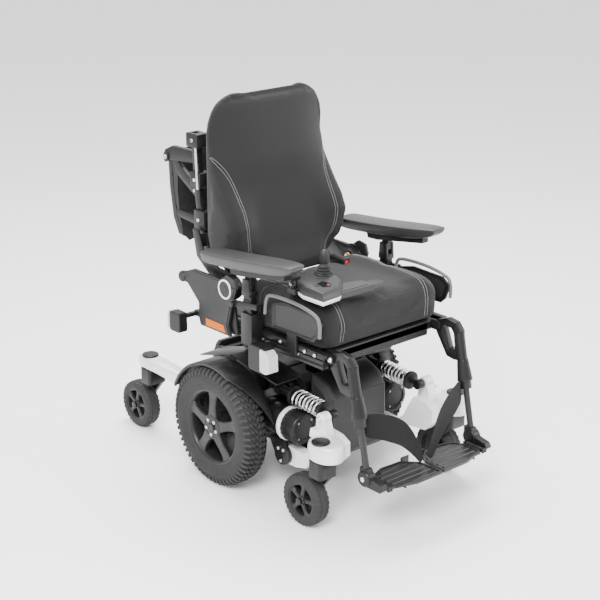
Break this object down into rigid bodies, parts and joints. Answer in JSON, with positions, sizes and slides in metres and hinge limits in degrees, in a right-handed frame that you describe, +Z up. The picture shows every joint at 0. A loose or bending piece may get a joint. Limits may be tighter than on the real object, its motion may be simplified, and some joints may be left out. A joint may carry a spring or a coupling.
{
  "type": "power wheelchair",
  "caption": "Mid-wheel-drive power wheelchair with sprung caster arms, tilting seat, reclining padded back, flip-up armrests, joystick and elevating leg supports.",
  "frame": {"origin": "on the floor, at the middle of the chair's footprint box", "axes": "+Z up, -Y the way the sitter faces, +X the sitter's left; the drive axle is parallel to X at y = +0.0355 m"},
  "size_m": [0.626, 1.183, 1.1128],
  "materials": {
    "black_steel": "satin powder coat",
    "grey_shroud": "matt moulded plastic",
    "black_plastic": "fine textured plastic",
    "gloss_plastic": "smooth moulded plastic",
    "silver_paint": "silver grey paint on a casting",
    "tyre": "grey-black rubber with tread",
    "wheel_rim": "satin black",
    "spring_steel": "bright zinc",
    "seat_fabric": "charcoal woven fabric with light stitching",
    "back_fabric": "charcoal woven fabric with light stitching",
    "arm_foam": "soft self-skinned polyurethane",
    "side_plastic": "grey moulded plastic",
    "lamp_lens": "clear",
    "webbing": "woven webbing",
    "red_button": "glossy red",
    "battery_case": "moulded case",
    "actuator_metal": "brushed",
    "pod_plastic": "soft touch plastic",
    "rubber": "moulded rubber",
    "footplate_plastic": "ribbed plastic",
    "cable_jacket": "pvc jacket"
  },
  "bodies": {
    "base": {"chassis_frame": "black_steel", "batteries": "battery_case", "base_covers": "grey_shroud", "fenders": "black_plastic", "drive_motors": "black_plastic", "arm_brackets": "black_steel"},
    "right_drive_wheel": {"right_drive_tyre": "tyre", "right_drive_rim": "wheel_rim"},
    "right_front_arm": {"right_front_arm": "silver_paint"},
    "right_rear_arm": {"right_rear_arm": "silver_paint"},
    "right_front_caster": {"right_front_fork": "black_plastic"},
    "right_front_wheel": {"right_front_caster_wheel": "tyre"},
    "right_rear_caster": {"right_rear_fork": "black_plastic"},
    "right_rear_wheel": {"right_rear_caster_wheel": "tyre"},
    "right_shock_body": {"right_shock_body": "black_plastic", "right_shock_spring": "spring_steel"},
    "right_shock_rod": {"right_shock_rod": "black_steel"},
    "left_drive_wheel": {"left_drive_tyre": "tyre", "left_drive_rim": "wheel_rim"},
    "left_front_arm": {"left_front_arm": "silver_paint"},
    "left_rear_arm": {"left_rear_arm": "silver_paint"},
    "left_front_caster": {"left_front_fork": "black_plastic"},
    "left_front_wheel": {"left_front_caster_wheel": "tyre"},
    "left_rear_caster": {"left_rear_fork": "black_plastic"},
    "left_rear_wheel": {"left_rear_caster_wheel": "tyre"},
    "left_shock_body": {"left_shock_body": "black_plastic", "left_shock_spring": "spring_steel"},
    "left_shock_rod": {"left_shock_rod": "black_steel"},
    "seat": {"seat_frame": "black_steel", "seat_cushion": "seat_fabric", "side_covers": "side_plastic", "side_guards": "side_plastic", "lamp_housings": "black_plastic", "lamp_lenses": "lamp_lens", "seat_belt": "webbing", "belt_buckle": "gloss_plastic"},
    "tilt_actuator": {"tilt_actuator_body": "black_plastic"},
    "tilt_rod": {"tilt_actuator_rod": "actuator_metal"},
    "back": {"back_frame": "black_steel", "rear_module": "black_plastic"},
    "back_carriage": {"back_shell": "black_plastic", "back_cushion": "back_fabric"},
    "buckle_button": {"buckle_button": "red_button"},
    "right_arm_post": {"right_arm_post": "black_steel"},
    "right_armrest": {"right_armrest": "arm_foam"},
    "left_arm_post": {"left_arm_post": "black_steel"},
    "left_armrest": {"left_armrest": "arm_foam"},
    "joystick_pod": {"joystick_pod": "pod_plastic", "joystick_cable": "cable_jacket"},
    "gimbal": {"gimbal_ring": "black_plastic"},
    "stick": {"joystick_knob": "rubber"},
    "paddle": {"speed_paddle": "actuator_metal"},
    "right_hanger": {"right_hanger": "black_plastic"},
    "right_leg_tube": {"right_leg_tube": "black_steel"},
    "right_footplate": {"right_footplate": "footplate_plastic", "right_leg_strap": "webbing"},
    "left_hanger": {"left_hanger": "black_plastic"},
    "left_leg_tube": {"left_leg_tube": "black_steel"},
    "left_footplate": {"left_footplate": "footplate_plastic", "left_leg_strap": "webbing"}
  },
  "joints": [
    {"name": "right_drive_spin", "type": "hinge", "parent": "base", "child": "right_drive_wheel", "pos_m": [-0.273, 0.0355, 0.178], "axis": [1, 0, 0], "continuous": true},
    {"name": "right_front_arm_lift", "type": "hinge", "parent": "base", "child": "right_front_arm", "pos_m": [-0.176, -0.1595, 0.13], "axis": [-1, 0, 0], "range_deg": [0, 10], "stiffness_Nm_per_rad": 4500, "springref_deg": -5.73},
    {"name": "right_rear_arm_lift", "type": "hinge", "parent": "base", "child": "right_rear_arm", "pos_m": [-0.204, 0.1855, 0.205], "axis": [1, 0, 0], "range_deg": [0, 10], "stiffness_Nm_per_rad": 4500, "springref_deg": -5.73},
    {"name": "right_front_swivel", "type": "hinge", "parent": "right_front_arm", "child": "right_front_caster", "pos_m": [-0.262, -0.3865, 0.2], "axis": [0, 0, 1], "continuous": true},
    {"name": "right_front_wheel_spin", "type": "hinge", "parent": "right_front_caster", "child": "right_front_wheel", "pos_m": [-0.262, -0.3285, 0.075], "axis": [1, 0, 0], "continuous": true},
    {"name": "right_rear_swivel", "type": "hinge", "parent": "right_rear_arm", "child": "right_rear_caster", "pos_m": [-0.212, 0.4585, 0.2], "axis": [0, 0, 1], "continuous": true},
    {"name": "right_rear_wheel_spin", "type": "hinge", "parent": "right_rear_caster", "child": "right_rear_wheel", "pos_m": [-0.212, 0.5165, 0.075], "axis": [1, 0, 0], "continuous": true},
    {"name": "right_shock_pivot", "type": "hinge", "parent": "base", "child": "right_shock_body", "pos_m": [-0.168, -0.1145, 0.309], "axis": [-1, 0, 0], "range_deg": [0, 12]},
    {"name": "right_shock_slide", "type": "slide", "parent": "right_shock_body", "child": "right_shock_rod", "axis": [0, -0.9984, -0.0557], "range_m": [-0.034, 0], "deforming": ["right_shock_spring"]},
    {"name": "left_drive_spin", "type": "hinge", "parent": "base", "child": "left_drive_wheel", "pos_m": [0.273, 0.0355, 0.178], "axis": [1, 0, 0], "continuous": true},
    {"name": "left_front_arm_lift", "type": "hinge", "parent": "base", "child": "left_front_arm", "pos_m": [0.176, -0.1595, 0.13], "axis": [-1, 0, 0], "range_deg": [0, 10], "stiffness_Nm_per_rad": 4500, "springref_deg": -5.73},
    {"name": "left_rear_arm_lift", "type": "hinge", "parent": "base", "child": "left_rear_arm", "pos_m": [0.204, 0.1855, 0.205], "axis": [1, 0, 0], "range_deg": [0, 10], "stiffness_Nm_per_rad": 4500, "springref_deg": -5.73},
    {"name": "left_front_swivel", "type": "hinge", "parent": "left_front_arm", "child": "left_front_caster", "pos_m": [0.262, -0.3865, 0.2], "axis": [0, 0, 1], "continuous": true},
    {"name": "left_front_wheel_spin", "type": "hinge", "parent": "left_front_caster", "child": "left_front_wheel", "pos_m": [0.262, -0.3285, 0.075], "axis": [1, 0, 0], "continuous": true},
    {"name": "left_rear_swivel", "type": "hinge", "parent": "left_rear_arm", "child": "left_rear_caster", "pos_m": [0.212, 0.4585, 0.2], "axis": [0, 0, 1], "continuous": true},
    {"name": "left_rear_wheel_spin", "type": "hinge", "parent": "left_rear_caster", "child": "left_rear_wheel", "pos_m": [0.212, 0.5165, 0.075], "axis": [1, 0, 0], "continuous": true},
    {"name": "left_shock_pivot", "type": "hinge", "parent": "base", "child": "left_shock_body", "pos_m": [0.168, -0.1145, 0.309], "axis": [-1, 0, 0], "range_deg": [0, 12]},
    {"name": "left_shock_slide", "type": "slide", "parent": "left_shock_body", "child": "left_shock_rod", "axis": [0, -0.9984, -0.0557], "range_m": [-0.034, 0], "deforming": ["left_shock_spring"]},
    {"name": "seat_tilt", "type": "hinge", "parent": "base", "child": "seat", "pos_m": [0, 0.0955, 0.415], "axis": [-1, 0, 0], "range_deg": [0, 20]},
    {"name": "tilt_actuator_pivot", "type": "hinge", "parent": "base", "child": "tilt_actuator", "pos_m": [0, -0.1145, 0.29], "axis": [-1, 0, 0], "range_deg": [0, 8]},
    {"name": "tilt_actuator_slide", "type": "slide", "parent": "tilt_actuator", "child": "tilt_rod", "axis": [0, 0, 1], "range_m": [0, 0.08]},
    {"name": "back_recline", "type": "hinge", "parent": "seat", "child": "back", "pos_m": [0, 0.0235, 0.589], "axis": [-1, 0, 0], "range_deg": [0, 45]},
    {"name": "shear_slide", "type": "slide", "parent": "back", "child": "back_carriage", "axis": [0, 0.1045, 0.9945], "range_m": [-0.03, 0]},
    {"name": "buckle_press", "type": "slide", "parent": "seat", "child": "buckle_button", "axis": [0, 1, 0], "range_m": [0, 0.003], "stiffness_N_per_m": 800, "springref_m": -0.002},
    {"name": "right_armrest_height", "type": "slide", "parent": "seat", "child": "right_arm_post", "axis": [0, 0, 1], "range_m": [0, 0.06]},
    {"name": "right_armrest_tilt", "type": "hinge", "parent": "right_arm_post", "child": "right_armrest", "pos_m": [-0.261, -0.0925, 0.64], "axis": [-1, 0, 0], "range_deg": [0, 12]},
    {"name": "left_armrest_height", "type": "slide", "parent": "seat", "child": "left_arm_post", "axis": [0, 0, 1], "range_m": [0, 0.06]},
    {"name": "left_armrest_tilt", "type": "hinge", "parent": "left_arm_post", "child": "left_armrest", "pos_m": [0.261, -0.0925, 0.64], "axis": [-1, 0, 0], "range_deg": [0, 12]},
    {"name": "pod_swing", "type": "hinge", "parent": "right_armrest", "child": "joystick_pod", "pos_m": [-0.222, -0.2385, 0.666], "axis": [0, 0, 1], "range_deg": [0, 40], "deforming": ["joystick_cable"]},
    {"name": "stick_pitch", "type": "hinge", "parent": "joystick_pod", "child": "gimbal", "pos_m": [-0.113, -0.2315, 0.65], "axis": [1, 0, 0], "range_deg": [-12, 12], "stiffness_Nm_per_rad": 0.6},
    {"name": "stick_roll", "type": "hinge", "parent": "gimbal", "child": "stick", "pos_m": [-0.113, -0.2315, 0.65], "axis": [0, 1, 0], "range_deg": [-12, 12], "stiffness_Nm_per_rad": 0.6},
    {"name": "paddle_rock", "type": "hinge", "parent": "joystick_pod", "child": "paddle", "pos_m": [-0.038, -0.3355, 0.645], "axis": [0, 1, 0], "range_deg": [-12, 12], "stiffness_Nm_per_rad": 0.5},
    {"name": "right_leg_elevate", "type": "hinge", "parent": "seat", "child": "right_hanger", "pos_m": [-0.204, -0.3765, 0.486], "axis": [-1, 0, 0], "range_deg": [0, 50]},
    {"name": "right_leg_length", "type": "slide", "parent": "right_hanger", "child": "right_leg_tube", "axis": [0, 0.2018, 0.9794], "range_m": [0, 0.05]},
    {"name": "right_footplate_flip", "type": "hinge", "parent": "right_leg_tube", "child": "right_footplate", "pos_m": [-0.182, -0.5345, 0.168], "axis": [0, -1, 0], "range_deg": [0, 80], "deforming": ["right_leg_strap"]},
    {"name": "left_leg_elevate", "type": "hinge", "parent": "seat", "child": "left_hanger", "pos_m": [0.204, -0.3765, 0.486], "axis": [-1, 0, 0], "range_deg": [0, 50]},
    {"name": "left_leg_length", "type": "slide", "parent": "left_hanger", "child": "left_leg_tube", "axis": [0, 0.2018, 0.9794], "range_m": [0, 0.05]},
    {"name": "left_footplate_flip", "type": "hinge", "parent": "left_leg_tube", "child": "left_footplate", "pos_m": [0.182, -0.5345, 0.168], "axis": [0, 1, 0], "range_deg": [0, 80], "deforming": ["left_leg_strap"]}
  ],
  "couplings": [
    {"joint": "right_shock_pivot", "follows": "right_front_arm_lift", "ratio": 0.78646},
    {"joint": "right_shock_slide", "follows": "right_front_arm_lift", "m_per_rad": -0.17937},
    {"joint": "left_shock_pivot", "follows": "left_front_arm_lift", "ratio": 0.78646},
    {"joint": "left_shock_slide", "follows": "left_front_arm_lift", "m_per_rad": -0.17937},
    {"joint": "tilt_actuator_pivot", "follows": "seat_tilt", "ratio": 0.27501},
    {"joint": "tilt_actuator_slide", "follows": "seat_tilt", "m_per_rad": 0.20436},
    {"joint": "shear_slide", "follows": "back_recline", "m_per_rad": -0.038197}
  ]
}
